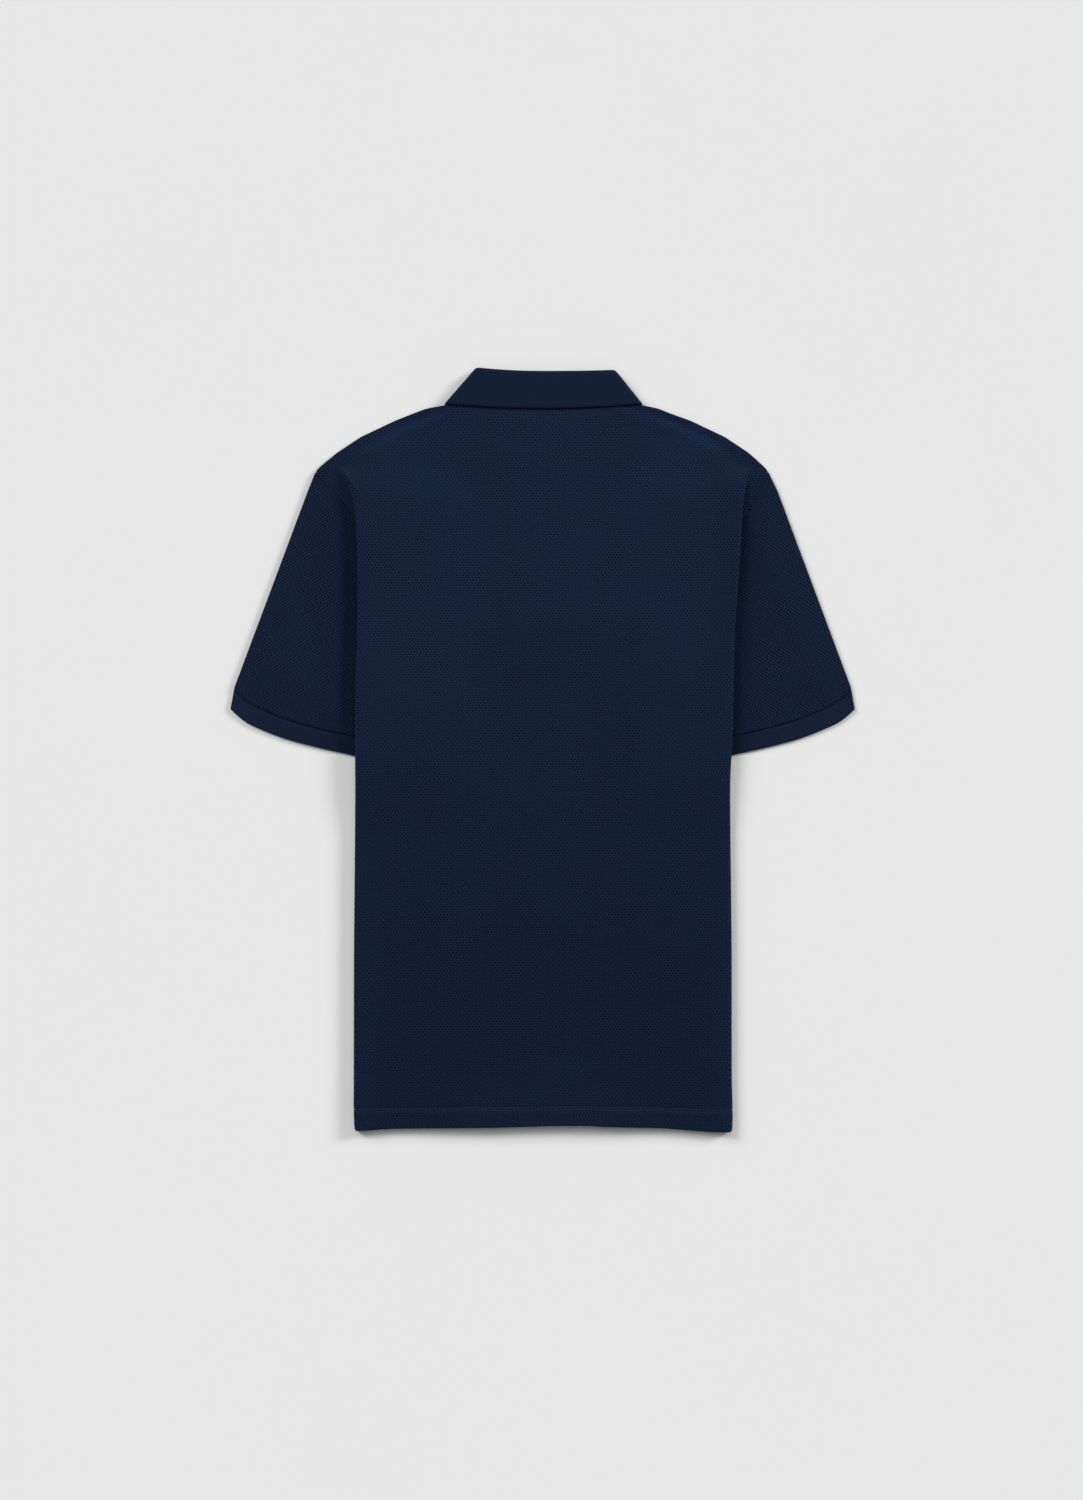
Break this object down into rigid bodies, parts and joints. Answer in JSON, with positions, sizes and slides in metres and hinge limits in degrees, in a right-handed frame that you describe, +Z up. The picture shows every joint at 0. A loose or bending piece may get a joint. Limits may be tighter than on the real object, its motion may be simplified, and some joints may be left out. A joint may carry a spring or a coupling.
{
  "type": "short-sleeved polo shirt laid flat",
  "caption": "Navy knitted short-sleeved polo shirt lying flat with its back up, sides tucked under, with a ribbed collar and ribbed sleeve cuffs.",
  "frame": {"origin": "middle of the laid-out shirt's box, on the surface that it lies on", "axes": "+X to the right of a viewer who looks down on the back with the collar at the top, +Y from the hem to the collar, +Z up off the surface"},
  "size_m": [0.624, 0.763, 0.0099],
  "materials": {
    "pique": "matt navy pique knit",
    "rib": "matt navy fine rib knit",
    "button": "satin navy plastic"
  },
  "bodies": {
    "root": {"back": "pique", "front": "pique", "sleeve_left": "pique", "sleeve_right": "pique", "placket_over": "pique", "placket_under": "pique", "collar": "rib", "cuff_left": "rib", "cuff_right": "rib", "button_1": "button", "button_2": "button", "button_3": "button"}
  },
  "joints": []
}
